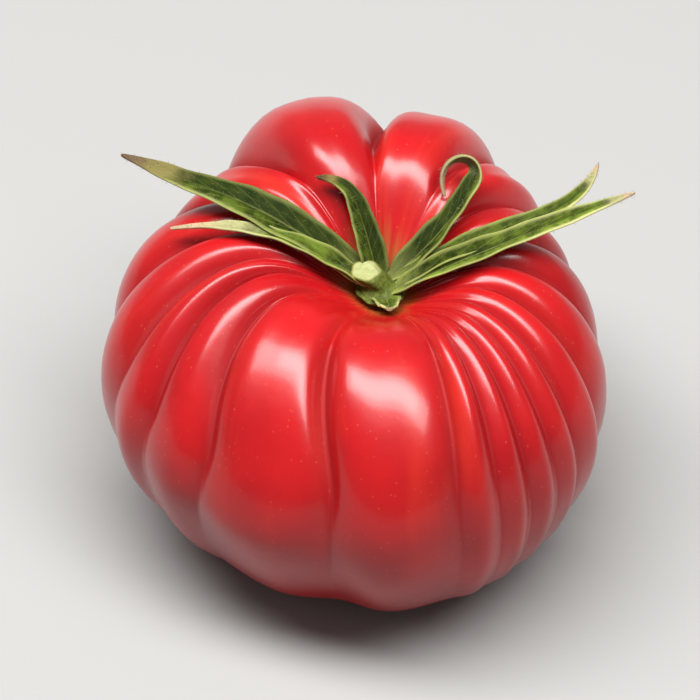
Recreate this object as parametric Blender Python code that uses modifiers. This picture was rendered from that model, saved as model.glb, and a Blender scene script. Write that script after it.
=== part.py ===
"""A beefsteak tomato lying stalk end up, with its green calyx and the stub of its stalk.

Two pieces: the fruit, one solid whose lobes and grooves are raised from a sphere by a formula,
and the calyx, whose sepals are grown together round the stub in the hollow of the fruit's top.
Metres, +Z up. Angles round the stalk are in degrees, anticlockwise from +X seen from above, and
-Y is the front. The origin is under the middle of the whole part, on the surface it rests on.
"""

import math
from collections import namedtuple

import bmesh
import bpy
from mathutils import Matrix, Vector, noise
from mathutils.bvhtree import BVHTree

MM = 0.001

# Driving dimensions of the fruit. "Down" is the share of the way from the stalk to the blossom end.
EQUATOR_HEIGHT = 31.0 * MM  # of the widest girth above the lowest point, before the base is flattened
CROWN_HEIGHT = 31.0 * MM  # from the girth up to where the front lobes would meet over the hollow
STALK_HOLLOW_DEPTH = 13.5 * MM
STALK_HOLLOW_RADIUS = 14.5 * MM
BLOSSOM_HOLLOW_DEPTH = 4.4 * MM
BLOSSOM_HOLLOW_RADIUS = 8.0 * MM
UNDERSIDE_TAPER = 0.86
UNDERSIDE_DOWN = (0.5, 0.75)  # where the flank's taper changes over to the underside's
BASE_FLAT = 2.4 * MM  # how far the weight has pressed the lowest lobes flat
SHOULDER_ROUNDING = 3.8 * MM  # how far from a groove a broad lobe starts to curl over into it
SHARPEST_FALL = 4.4  # exponent of the curl into a groove that no lobe goes over
RIDGE_BREADTH = 1.5  # over 1 keeps a lobe's own radius further out from its ridge
GROOVE_OPENS_DOWN = (0.02, 0.22)
GROOVE_FADES_FROM = 0.2
GROOVE_LEFT_BELOW = 0.08  # share of a groove's depth that is left under the fruit
CREASE_TO_WAVE_DOWN = (0.25, 0.75)  # where a groove turns from a crease into a soft wave
DRIFT_DOWN = (0.08, 0.42)  # between these a groove swings over to its angle at the girth
SIDEWAYS_CUT_FROM = 0.5  # share of the radius inside which grooves cut down more than inwards
LUMP_SIZE = 34.0 * MM
LUMP_HEIGHT = 0.6 * MM
LUMP_PLACE = Vector((3.1, 0.7, 5.2))
LUMPS_BEGIN_DOWN = (0.05, 0.3)
LUMPS_END_DOWN = (1.0, 0.8)

COLUMNS_PER_LOBE = 10
COLUMN_BUNCHING = 0.45  # 0 spaces the columns evenly across a lobe, more sets them closer to its grooves
RINGS = 30
RING_BUNCHING = 1.25  # over 1 sets the rings closer together at the stalk end

# One row for each lobe, anticlockwise. The groove at its clockwise side has the depth given, has
# faded out at the share of the way down that its reach gives, and starts at the stalk the drift
# further clockwise than it stands at the girth. The radius is from the stalk's axis to the lobe's
# ridge at the girth, and the lift is how much higher its shoulder stands. The taper is the exponent
# of the sine and cosine down its ridge: 1 makes an ellipse, less a squarer shoulder, more a sloping one.
Lobe = namedtuple("Lobe", "width_deg groove_mm reach drift_deg radius_mm lift_mm taper")
FIRST_GROOVE_DEG = -102.0
LOBES = (
    Lobe(30, 4.4, 1.10, 15, 45.4, 0.2, 0.94),
    Lobe(10, 2.3, 0.95, -5, 44.4, 0.2, 0.90),
    Lobe(9, 1.6, 0.85, -5, 43.4, 0.4, 0.96),
    Lobe(9, 1.8, 0.90, -5, 42.4, 0.6, 1.00),
    Lobe(10, 1.6, 0.80, -5, 41.4, 0.8, 1.00),
    Lobe(15, 2.2, 0.85, -5, 40.2, 0.8, 0.98),
    Lobe(20, 3.0, 0.95, -4, 38.6, 0.8, 0.94),
    Lobe(20, 2.6, 0.80, -2, 37.4, 1.0, 0.90),
    Lobe(18, 3.0, 0.90, 0, 37.0, 1.6, 0.88),
    Lobe(19, 3.4, 0.85, 0, 40.6, 3.6, 0.86),
    Lobe(28, 4.2, 0.90, 0, 48.6, 6.2, 0.86),
    Lobe(44, 7.4, 0.95, -8, 53.2, 7.6, 0.86),
    Lobe(20, 6.0, 0.95, 0, 46.0, 3.0, 0.88),
    Lobe(22, 3.0, 0.85, 4, 47.4, 2.0, 0.88),
    Lobe(20, 2.9, 0.90, 9, 47.6, 1.6, 0.92),
    Lobe(14, 2.2, 0.80, 14, 46.8, 1.2, 1.00),
    Lobe(19, 2.6, 0.90, 21, 45.8, 1.6, 1.06),
    Lobe(33, 3.4, 0.90, 24, 45.2, 2.2, 1.12),
)
COLUMNS = COLUMNS_PER_LOBE * len(LOBES)

# Driving dimensions of the calyx. Heights are above the bottom of the stalk's hollow.
SEAT_HEIGHT = EQUATOR_HEIGHT + CROWN_HEIGHT - STALK_HOLLOW_DEPTH
GAP = 0.35 * MM  # between the calyx and the fruit
RECEPTACLE_RADIUS = 4.4 * MM
RECEPTACLE_SWELL = 0.32  # share by which the disc is wider at its left and right back
RECEPTACLE_TOP = 3.5 * MM
RECEPTACLE_STEPS = 32
STUB_RADIUS = 2.6 * MM
STUB_TOP = 6.3 * MM
STUB_LEAN = Vector((-0.95, 0.1, 0.0))  # sideways for each millimetre up
CUT_END_DEPTH = 0.5 * MM
CUT_END_RIM = 0.7 * MM
STUB_WAIST = 0.92  # share of the stub's radius just above its foot
STUB_FOOT = 1.3
BLADE_THICKNESS = 0.75 * MM
BLADE_ROOT_RADIUS = 1.6 * MM
BLADE_ROOT_HEIGHT = 2.5 * MM
BLADE_ROOT_SHARE = 0.7  # of the full width near the root
BLADE_WAIST = 0.45  # share of that width where the blade leaves the stub
BLADE_WAIST_UNTIL = 0.09  # share of the length
BLADE_ROOT_FOLD = 0.35  # share of the fold where the blade leaves the stub
BLADE_FOLDED_FROM = 0.2
BLADE_FULL_FROM = 0.28  # share of the length where the blade is at its full width
BLADE_TIP_WIDTH = 0.9 * MM
BLADE_NARROWS = (1.7, 0.85)  # exponents of the outline's fall to the tip, along the blade and in width
BLADE_TROUGH = 1.3  # exponent of the rise from the midrib to the edges: 1 makes a sharp fold
BLADE_OPENING = 0.35  # share of the fold that is lost towards the tip
BLADE_WAVE = 0.08  # height of the ripple along the edges, as a share of the half width
BLADE_WAVE_TURNS = (15.0, 1.4, 2.3)  # radians of it along a blade, across one, and from one to the next
BLADE_CURLS_FROM = 0.58
BLADE_ROWS = 28
BLADE_COLUMNS = 6
REST_ROWS = 3  # rows of the blade over which the rise over a lobe is spread
ABOVE = Vector((0.0, 0.0, 0.1))
DOWNWARDS = Vector((0.0, 0.0, -1.0))

# One row for each sepal. Middle and tip are given as radius, angle and height of the midrib before it
# curls, the fold is how steeply its two halves rise from the midrib, and the twist is the turn from
# root to tip. The end curls over by the curl, towards an angle round the stalk.
Sepal = namedtuple("Sepal", "root_deg middle tip width_mm fold_deg twist_deg curl_deg towards_deg")
SEPALS = (
    Sepal(150, (24.0, 158, 11.5), (51.0, 150, 9.5), 9.0, 22, -12, 0, 0),
    Sepal(176, (19.0, 171, 11.4), (36.7, 166, 8.0), 5.2, 34, 12, 0, 0),
    Sepal(112, (11.0, 114, 13.0), (17.5, 116, 18.0), 6.0, 22, 20, 60, 180),
    Sepal(56, (17.0, 37, 9.5), (29.5, 52, 24.5), 6.8, 30, -25, 195, 180),
    Sepal(20, (21.5, 13, 10.5), (44.5, 21, 12.5), 6.2, 34, 22, 40, 90),
    Sepal(-45, (20.0, 4, 11.0), (45.0, 18, 11.5), 6.6, 40, 18, 0, 0),
    Sepal(-74, (4.2, -76, 3.0), (7.8, -80, 4.8), 5.6, 14, 0, 0, 0),
)


def smoothstep(low, high, value):
    """0 up to low, 1 from high on, and a smooth rise between them."""
    share = min(1.0, max(0.0, (value - low) / (high - low)))
    return share * share * (3 - 2 * share)


def new_object(name, mesh, collection="beefsteak_tomato"):
    part = bpy.data.objects.new(name, mesh)
    bpy.data.collections[collection].objects.link(part)
    return part


def clear_scene():
    for thing in list(bpy.data.objects):
        bpy.data.objects.remove(thing, do_unlink=True)
    collection = bpy.data.collections.new("beefsteak_tomato")
    bpy.context.scene.collection.children.link(collection)


def material(name, colour, roughness):
    made = bpy.data.materials.new(name)
    made.use_nodes = True
    shader = made.node_tree.nodes["Principled BSDF"]
    shader.inputs["Base Color"].default_value = (*colour, 1.0)
    shader.inputs["Roughness"].default_value = roughness
    return made


def apply_modifiers(thing):
    """Turns a new object's modifiers into its mesh."""
    bpy.context.view_layer.objects.active = thing
    for modifier in list(thing.modifiers):
        bpy.ops.object.modifier_apply(modifier=modifier.name)


# The fruit's form


def lobe_at(column):
    """The number of the lobe under a column of vertices, and how far across it the column is."""
    number = int(column // COLUMNS_PER_LOBE) % len(LOBES)
    share = (column % COLUMNS_PER_LOBE) / COLUMNS_PER_LOBE
    return number, share - COLUMN_BUNCHING * math.sin(math.tau * share) / math.tau


def turn_of(column, down):
    """The column's angle round the stalk, in degrees, at the share of the way down."""
    number, across = lobe_at(column)
    lobe, following = LOBES[number], LOBES[(number + 1) % len(LOBES)]
    start = FIRST_GROOVE_DEG + sum(before.width_deg for before in LOBES[:number])
    drift = lobe.drift_deg * (1 - across) + following.drift_deg * across
    return start + across * lobe.width_deg - drift * (1 - smoothstep(*DRIFT_DOWN, down))


def eased_between_ridges(column, field):
    """A lobe's value at its ridge, eased over to its neighbour's value across the groove."""
    number, across = lobe_at(column)
    here = getattr(LOBES[number], field)
    side = -1 if across < 0.5 else 1
    beside = getattr(LOBES[(number + side) % len(LOBES)], field)
    return here + (beside - here) * 0.5 * smoothstep(0.0, 1.0, 2 * abs(across - 0.5)) ** RIDGE_BREADTH


def groove_depth(column, down):
    """How deep the surface lies under the lobes' ridges. A groove is a crease above, a wave below."""
    number, across = lobe_at(column)
    lobe = LOBES[number]
    edge = lobe if across < 0.5 else LOBES[(number + 1) % len(LOBES)]
    half_width = math.radians(lobe.width_deg) / 2 * lobe.radius_mm * MM
    towards_groove = abs(2 * across - 1)
    crease = towards_groove ** min(SHARPEST_FALL, 1 + half_width / SHOULDER_ROUNDING)
    wave = 0.5 - 0.5 * math.cos(math.pi * towards_groove)
    falling = crease + (wave - crease) * smoothstep(*CREASE_TO_WAVE_DOWN, down)
    opening = smoothstep(*GROOVE_OPENS_DOWN, down)
    fading = 1 - (1 - GROOVE_LEFT_BELOW) * smoothstep(GROOVE_FADES_FROM, edge.reach, down)
    return edge.groove_mm * MM * falling * opening * fading


def fruit_point(column, ring):
    """Where the vertex of a column and ring of the sphere goes, the stalk's axis at x = y = 0."""
    down = (ring / RINGS) ** RING_BUNCHING
    polar = math.pi * down
    turn = math.radians(turn_of(column, down))
    ridge = eased_between_ridges(column, "radius_mm") * MM
    lift = eased_between_ridges(column, "lift_mm") * MM
    taper = eased_between_ridges(column, "taper")
    taper += (UNDERSIDE_TAPER - taper) * smoothstep(*UNDERSIDE_DOWN, down)
    out = ridge * max(0.0, math.sin(polar)) ** taper
    steep = abs(math.cos(polar)) ** taper
    if polar < math.pi / 2:
        height = (CROWN_HEIGHT + lift) * steep
        height -= (STALK_HOLLOW_DEPTH + lift) * math.exp(-((out / STALK_HOLLOW_RADIUS) ** 2))
    else:
        height = -EQUATOR_HEIGHT * steep
        height += BLOSSOM_HOLLOW_DEPTH * math.exp(-((out / BLOSSOM_HOLLOW_RADIUS) ** 2))
    # A groove goes in square to the rounded flank, and straight down in the hollow
    lean = math.atan2(max(height, 0.0) / CROWN_HEIGHT, out / ridge)
    depth = groove_depth(column, down)
    out -= depth * math.cos(lean) * min(1.0, out / (SIDEWAYS_CUT_FROM * ridge))
    height -= depth * math.sin(lean)
    point = Vector((out * math.cos(turn), out * math.sin(turn), EQUATOR_HEIGHT + height))
    lump = noise.noise(point / LUMP_SIZE + LUMP_PLACE)
    lump *= smoothstep(*LUMPS_BEGIN_DOWN, down) * smoothstep(*LUMPS_END_DOWN, down)
    point += Vector((point.x, point.y, height)).normalized() * lump * LUMP_HEIGHT
    point.z = max(point.z, BASE_FLAT)
    return point


def build_fruit():
    shaper = bmesh.new()
    bmesh.ops.create_uvsphere(shaper, u_segments=COLUMNS, v_segments=RINGS, radius=1.0)
    for vertex in shaper.verts:
        ring = round(RINGS * math.acos(max(-1.0, min(1.0, vertex.co.z))) / math.pi)
        column = round(COLUMNS * math.atan2(vertex.co.y, vertex.co.x) / math.tau) % COLUMNS
        vertex.co = fruit_point(column, ring)
    bmesh.ops.recalc_face_normals(shaper, faces=shaper.faces)
    mesh = bpy.data.meshes.new("fruit")
    shaper.to_mesh(mesh)
    shaper.free()
    mesh.shade_smooth()
    return new_object("fruit", mesh)


# The calyx's form


def polar_point(radius, degrees, height):
    """A point from its distance and angle round the stalk's axis, and its height above the seat."""
    turn = math.radians(degrees)
    return Vector((radius * math.cos(turn), radius * math.sin(turn), SEAT_HEIGHT + height))


def midrib(sepal):
    """Pairs of a point on a sepal's midrib and the direction along it there, root first."""
    root = polar_point(BLADE_ROOT_RADIUS, sepal.root_deg, BLADE_ROOT_HEIGHT)
    middle = polar_point(sepal.middle[0] * MM, sepal.middle[1], sepal.middle[2] * MM)
    tip = polar_point(sepal.tip[0] * MM, sepal.tip[1], sepal.tip[2] * MM)
    to_middle = (middle - root).length
    bend = to_middle / (to_middle + (tip - middle).length)
    # The curve with one control point that passes through the middle
    pull = (middle - root * (1 - bend) ** 2 - tip * bend**2) / (2 * bend * (1 - bend))
    towards = math.radians(sepal.towards_deg)
    axis = (tip - middle).cross(Vector((math.cos(towards), math.sin(towards), 0.0)))

    def pace(t):
        curled = math.radians(sepal.curl_deg) * smoothstep(BLADE_CURLS_FROM, 1.0, t)
        return Matrix.Rotation(curled, 3, axis) @ ((pull - root) * (1 - t) + (tip - pull) * t) * 2

    point = root
    for row in range(BLADE_ROWS + 1):
        t = row / BLADE_ROWS
        yield point, pace(t).normalized()
        point = point + pace(t + 0.5 / BLADE_ROWS) / BLADE_ROWS


def blade_width(sepal, t):
    """The sepal's width at the share t of its length, a long leaf shape."""
    leaf = BLADE_ROOT_SHARE + (1 - BLADE_ROOT_SHARE) * smoothstep(0.0, BLADE_FULL_FROM, t)
    waist = BLADE_WAIST + (1 - BLADE_WAIST) * smoothstep(0.0, BLADE_WAIST_UNTIL, t)
    narrowing = (1 - t ** BLADE_NARROWS[0]) ** BLADE_NARROWS[1]
    return BLADE_TIP_WIDTH + (sepal.width_mm * MM - BLADE_TIP_WIDTH) * leaf * waist * narrowing


def blade_rows(sepal, number):
    """The blade's middle surface as rows of points across it, from its root to its tip."""
    along, aslant, shifted = BLADE_WAVE_TURNS
    rows = []
    level = None
    for row, (centre, way) in enumerate(midrib(sepal)):
        t = row / BLADE_ROWS
        # A curling midrib may pass the vertical, so the crosswise line is carried along it
        carried = sepal.curl_deg and level
        level = (level - way * level.dot(way) if carried else way.cross(-DOWNWARDS)).normalized()
        side = Matrix.Rotation(math.radians(sepal.twist_deg) * t, 3, way) @ level
        over = side.cross(way)
        half = blade_width(sepal, t) / 2
        fold = math.radians(sepal.fold_deg) * (1 - BLADE_OPENING * t)
        fold *= BLADE_ROOT_FOLD + (1 - BLADE_ROOT_FOLD) * smoothstep(0.0, BLADE_FOLDED_FROM, t)
        points = []
        for column in range(BLADE_COLUMNS + 1):
            across = 2 * column / BLADE_COLUMNS - 1
            wave = along * t + aslant * across + shifted * number
            ripple = BLADE_WAVE * math.sin(wave) * abs(across)
            rise = half * (abs(across) ** BLADE_TROUGH * math.sin(fold) + ripple)
            points.append(centre + side * across * half * math.cos(fold) + over * rise)
        rows.append(points)
    return rows


def spans(values):
    """For each value, the run of values within REST_ROWS of it."""
    return [values[max(0, i - REST_ROWS) : i + REST_ROWS + 1] for i in range(len(values))]


def laid_over(rows, fruit_tree):
    """The rows raised where the blade would come nearer than the gap to the lobes under it."""
    needed = []
    for points in rows:
        rise = 0.0
        for point in points:
            below = fruit_tree.ray_cast(point + ABOVE, DOWNWARDS)[0]
            if below is not None:
                rise = max(rise, below.z + 2 * GAP + BLADE_THICKNESS - point.z)
        needed.append(rise)
    held = [max(near) for near in spans(needed)]
    eased = [sum(near) / len(near) for near in spans(held)]
    return [[point + Vector((0, 0, rise)) for point in points] for points, rise in zip(rows, eased)]


def build_blade(sepal, number, fruit_tree):
    rows = laid_over(blade_rows(sepal, number), fruit_tree)
    shaper = bmesh.new()
    bmesh.ops.create_grid(shaper, x_segments=BLADE_COLUMNS, y_segments=BLADE_ROWS, size=1.0)
    for vertex in shaper.verts:
        column = round((vertex.co.x + 1) / 2 * BLADE_COLUMNS)
        row = round((vertex.co.y + 1) / 2 * BLADE_ROWS)
        vertex.co = rows[row][column]
    bmesh.ops.triangulate(shaper, faces=shaper.faces)
    mesh = bpy.data.meshes.new("blade")
    shaper.to_mesh(mesh)
    shaper.free()
    blade = new_object("blade", mesh, "blades")
    thicken = blade.modifiers.new("thickness", "SOLIDIFY")
    thicken.thickness = BLADE_THICKNESS
    thicken.offset = 0.0
    return blade


def build_receptacle():
    """The green disc under the sepals with the stub of the stalk on it, turned and then leant."""
    outline = (
        (0.0, STUB_TOP - CUT_END_DEPTH),
        (STUB_RADIUS - CUT_END_RIM, STUB_TOP - CUT_END_DEPTH),
        (STUB_RADIUS - 0.3 * MM, STUB_TOP),
        (STUB_RADIUS, STUB_TOP - 0.3 * MM),
        (STUB_RADIUS * STUB_WAIST, RECEPTACLE_TOP + 0.8 * MM),
        (STUB_RADIUS * STUB_FOOT, RECEPTACLE_TOP),
        (RECEPTACLE_RADIUS - 0.8 * MM, RECEPTACLE_TOP - 0.2 * MM),
        (RECEPTACLE_RADIUS, RECEPTACLE_TOP - 0.9 * MM),
        (RECEPTACLE_RADIUS - 0.2 * MM, 2.2 * MM + GAP),
        (RECEPTACLE_RADIUS * 0.5, 0.8 * MM + GAP),
        (0.0, GAP),
    )
    mesh = bpy.data.meshes.new("calyx")
    edges = [(corner, corner + 1) for corner in range(len(outline) - 1)]
    mesh.from_pydata([(radius, 0, SEAT_HEIGHT + height) for radius, height in outline], edges, [])
    receptacle = new_object("calyx", mesh)
    turning = receptacle.modifiers.new("turn", "SCREW")
    turning.axis = "Z"
    turning.steps = turning.render_steps = RECEPTACLE_STEPS
    turning.use_merge_vertices = True
    turning.merge_threshold = 1e-5
    apply_modifiers(receptacle)
    for vertex in receptacle.data.vertices:
        above = vertex.co.z - SEAT_HEIGHT - RECEPTACLE_TOP
        if above > 0.0:
            vertex.co += STUB_LEAN * above
            continue
        turn = math.atan2(vertex.co.y, vertex.co.x)
        swell = 1 + RECEPTACLE_SWELL * max(0.0, math.sin(turn)) * abs(math.cos(turn))
        vertex.co.x *= swell
        vertex.co.y *= swell
    return receptacle


def keep_outer_skin(mesh):
    """Fills the pockets that overlapping sepals close off, by deleting every skin but the largest."""
    shaper = bmesh.new()
    shaper.from_mesh(mesh)
    unseen = set(shaper.verts)
    skins = []
    while unseen:
        skin, edge_of_skin = set(), [unseen.pop()]
        while edge_of_skin:
            vertex = edge_of_skin.pop()
            skin.add(vertex)
            beside = {edge.other_vert(vertex) for edge in vertex.link_edges} & unseen
            unseen -= beside
            edge_of_skin.extend(beside)
        skins.append(skin)
    for skin in sorted(skins, key=len)[:-1]:
        bmesh.ops.delete(shaper, geom=list(skin), context="VERTS")
    shaper.to_mesh(mesh)
    shaper.free()


def build_calyx(fruit):
    shaper = bmesh.new()
    shaper.from_mesh(fruit.data)
    fruit_tree = BVHTree.FromBMesh(shaper)
    shaper.free()
    blades = bpy.data.collections.new("blades")
    bpy.context.scene.collection.children.link(blades)
    for number, sepal in enumerate(SEPALS):
        build_blade(sepal, number, fruit_tree)
    calyx = build_receptacle()
    union = calyx.modifiers.new("sepals", "BOOLEAN")
    union.operation = "UNION"
    union.operand_type = "COLLECTION"
    union.collection = blades
    union.solver = "MANIFOLD"
    apply_modifiers(calyx)
    for blade in list(blades.objects):
        bpy.data.objects.remove(blade, do_unlink=True)
    bpy.data.collections.remove(blades)
    keep_outer_skin(calyx.data)
    calyx.data.materials.clear()
    return calyx


def stand_on_origin(parts):
    """Moves the meshes so that the origin is under the middle of them all, where they rest."""
    corners = [vertex.co for part in parts for vertex in part.data.vertices]
    low = Vector(min(corner[axis] for corner in corners) for axis in range(3))
    high = Vector(max(corner[axis] for corner in corners) for axis in range(3))
    middle = (low + high) / 2
    for part in parts:
        part.data.transform(Matrix.Translation((-middle.x, -middle.y, -low.z)))


def main():
    clear_scene()
    fruit = build_fruit()
    calyx = build_calyx(fruit)
    fruit.data.materials.append(material("fruit_skin", (0.42, 0.007, 0.008), 0.27))
    calyx.data.materials.append(material("calyx_green", (0.085, 0.15, 0.015), 0.6))
    stand_on_origin((fruit, calyx))


main()
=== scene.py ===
"""A ripe beefsteak tomato with its hairy green calyx, on a pale studio floor.

The fruit and the calyx take their form from the same formulas and driving dimensions as the solids
they stand for, at a finer step, and add what the solids leave out: small lumps, flutes and wrinkles
of the skin, the corky scar under the fruit, veins, curled margins and the hairs of the leaves.
Metres, +Z up. Angles round the stalk are in degrees, anticlockwise from +X seen from above.
"""

import logging
import math
import random
from collections.abc import Iterator
from contextlib import contextmanager
from dataclasses import dataclass, field
from enum import Enum

import bpy
import numpy as np
from mathutils import Matrix, Vector, noise
from mathutils.bvhtree import BVHTree


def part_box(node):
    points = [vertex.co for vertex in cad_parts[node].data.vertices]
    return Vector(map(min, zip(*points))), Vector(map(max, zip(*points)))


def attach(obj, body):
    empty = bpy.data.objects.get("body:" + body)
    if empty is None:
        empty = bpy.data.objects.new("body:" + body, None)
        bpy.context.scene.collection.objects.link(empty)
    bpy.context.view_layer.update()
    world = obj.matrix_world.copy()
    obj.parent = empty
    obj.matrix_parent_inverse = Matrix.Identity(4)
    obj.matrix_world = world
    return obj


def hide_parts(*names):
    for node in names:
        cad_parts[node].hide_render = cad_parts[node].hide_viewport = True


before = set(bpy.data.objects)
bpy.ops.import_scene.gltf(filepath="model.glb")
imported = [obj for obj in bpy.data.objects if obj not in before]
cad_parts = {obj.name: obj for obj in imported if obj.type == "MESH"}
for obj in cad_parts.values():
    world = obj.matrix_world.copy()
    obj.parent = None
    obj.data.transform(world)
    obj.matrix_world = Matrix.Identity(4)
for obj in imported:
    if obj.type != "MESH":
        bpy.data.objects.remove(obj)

MM = 0.001
UP = Vector((0.0, 0.0, 1.0))
log = logging.getLogger("tomato")


def smoothstep(low: float, high: float, value: float | np.ndarray) -> float | np.ndarray:
    """A smooth rise from 0 at low to 1 at high, or a fall where high lies below low."""
    share = np.clip((value - low) / (high - low), 0.0, 1.0)
    return share * share * (3 - 2 * share)


def band(rise: tuple[float, float], fall: tuple[float, float], value: np.ndarray) -> np.ndarray:
    """1 between a smooth rise and a smooth fall, each given by where it is 0 and where it is 1."""
    return smoothstep(*rise, value) * smoothstep(*fall, value)


def grown(first: float, until: float, along: float) -> float:
    """A factor that rises from first at a blade's root to 1 at a share of its length."""
    return first + (1 - first) * float(smoothstep(0.0, until, along))


def noise_at(points: np.ndarray, size: float, place: Vector) -> np.ndarray:
    """Smooth noise from -1 to 1 at each point, with lumps of a size, read from a place in the noise."""
    return np.array([noise.noise(Vector(point) / size + place) for point in points])


class Slot(Enum):
    """The record's material slots."""

    SKIN = "fruit_skin"
    GREEN = "calyx_green"


# Shader graphs


class Wire:
    """A socket's output, which adds Math nodes to its graph when it stands in an expression."""

    def __init__(self, graph: "Graph", socket: bpy.types.NodeSocket) -> None:
        """Keeps the graph and the socket."""
        self.graph = graph
        self.socket = socket

    def _math(self, operation: str, *values: "Wire | float") -> "Wire":
        """Adds one Math node and returns its output."""
        return self.graph.node("ShaderNodeMath", {"operation": operation}, dict(enumerate(values)))

    def __add__(self, other: "Wire | float") -> "Wire":
        """This plus other."""
        return self._math("ADD", self, other)

    def __sub__(self, other: "Wire | float") -> "Wire":
        """This minus other."""
        return self._math("SUBTRACT", self, other)

    def __rsub__(self, other: float) -> "Wire":
        """Other minus this."""
        return self._math("SUBTRACT", other, self)

    def __mul__(self, other: "Wire | float") -> "Wire":
        """This times other."""
        return self._math("MULTIPLY", self, other)

    def __pow__(self, other: float) -> "Wire":
        """This to the power of other."""
        return self._math("POWER", self, other)

    __radd__ = __add__
    __rmul__ = __mul__

    def changed(self, operation: str) -> "Wire":
        """This after an operation on it alone, such as SINE."""
        return self._math(operation, self)

    def within(self, low: float, high: float) -> "Wire":
        """A smooth rise from 0 at low to 1 at high.

        Args:
            low: The value up to which the result is 0.
            high: The value from which it is 1. It may lie below low, for a fall.

        Returns:
            The output of a Map Range node.
        """
        if low > high:
            return 1 - self.within(high, low)
        inputs = {"Value": self, "From Min": low, "From Max": high}
        return self.graph.node("ShaderNodeMapRange", {"interpolation_type": "SMOOTHSTEP"}, inputs)


Colour = tuple[float, float, float]


class Graph:
    """The node tree of one material, with the few kinds of node that its finishes use."""

    def __init__(self, name: str) -> None:
        """Makes the material and finds its shader.

        Args:
            name: The material's name.
        """
        self.material = bpy.data.materials.new(name)
        self.material.use_nodes = True
        self.tree = self.material.node_tree
        self.shader = self.tree.nodes["Principled BSDF"]

    def node(self, kind: str, settings: dict, inputs: dict, output: int | str = 0) -> Wire:
        """Adds a node.

        Args:
            kind: The node's type.
            settings: Its properties, by name.
            inputs: The value or the wire of each socket that is set, by name or number.
            output: The socket that the returned wire leaves from, by name or number.

        Returns:
            The wire out of the node.
        """
        made = self.tree.nodes.new(kind)
        for name, value in settings.items():
            setattr(made, name, value)
        for name, value in inputs.items():
            self.feed(made.inputs[name], value)
        return Wire(self, made.outputs[output])

    def feed(self, socket: bpy.types.NodeSocket, value: "Wire | float | Colour | Vector") -> None:
        """Links a wire to a socket, or sets the socket's own value.

        Args:
            socket: An input of a node.
            value: The wire or the value.
        """
        if isinstance(value, Wire):
            self.tree.links.new(value.socket, socket)
        elif socket.type == "RGBA":
            socket.default_value = (*value, 1.0)
        else:
            socket.default_value = value

    def mixed(self, share: "Wire | float", first: "Wire | Colour", second: "Wire | Colour") -> Wire:
        """A colour between two.

        Args:
            share: 0 for the first colour, 1 for the second.
            first: The colour or wire at 0.
            second: The colour or wire at 1.

        Returns:
            The wire of the mixed colour.
        """
        settings = {"data_type": "RGBA", "clamp_factor": True}
        # A Mix node's colour sockets follow its number and vector sockets
        return self.node("ShaderNodeMix", settings, {0: share, 6: first, 7: second}, 2)

    def attribute(self, name: str, output: str = "Fac") -> Wire:
        """The value that the mesh holds under a name."""
        return self.node("ShaderNodeAttribute", {"attribute_name": name}, {}, output)

    def place(self) -> Wire:
        """The point's coordinates on the object, in metres."""
        return self.node("ShaderNodeTexCoord", {}, {}, "Object")

    def clouds(self, where: Wire, scale: float, detail: float = 2.0, roughness: float = 0.5) -> Wire:
        """Smooth noise from 0 to 1: scale lumps to the unit, and detail finer noises over them."""
        inputs = {"Vector": where, "Scale": scale, "Detail": detail, "Roughness": roughness}
        return self.node("ShaderNodeTexNoise", {}, inputs)

    def cells(self, where: Wire, scale: float, output: str = "Distance") -> Wire:
        """The distance to the nearest of many scattered points, or that point's own colour."""
        return self.node("ShaderNodeTexVoronoi", {}, {"Vector": where, "Scale": scale}, output)

    def bump(self, height: Wire, distance: float, below: Wire | None = None) -> Wire:
        """A normal bent by a height.

        Args:
            height: The height, from 0 to 1.
            distance: The depth in metres that 1 stands for.
            below: A bent normal that this one is laid over.

        Returns:
            The wire of the normal.
        """
        inputs = {"Height": height, "Distance": distance, "Strength": 1.0}
        if below is not None:
            inputs["Normal"] = below
        return self.node("ShaderNodeBump", {}, inputs, "Normal")

    def dress(self, values: dict[str, "Wire | float | Colour"]) -> bpy.types.Material:
        """Sets sockets of the shader.

        Args:
            values: The value or the wire of each socket, by its name.

        Returns:
            The graph's material.
        """
        for name, value in values.items():
            self.feed(self.shader.inputs[name], value)
        return self.material


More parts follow.
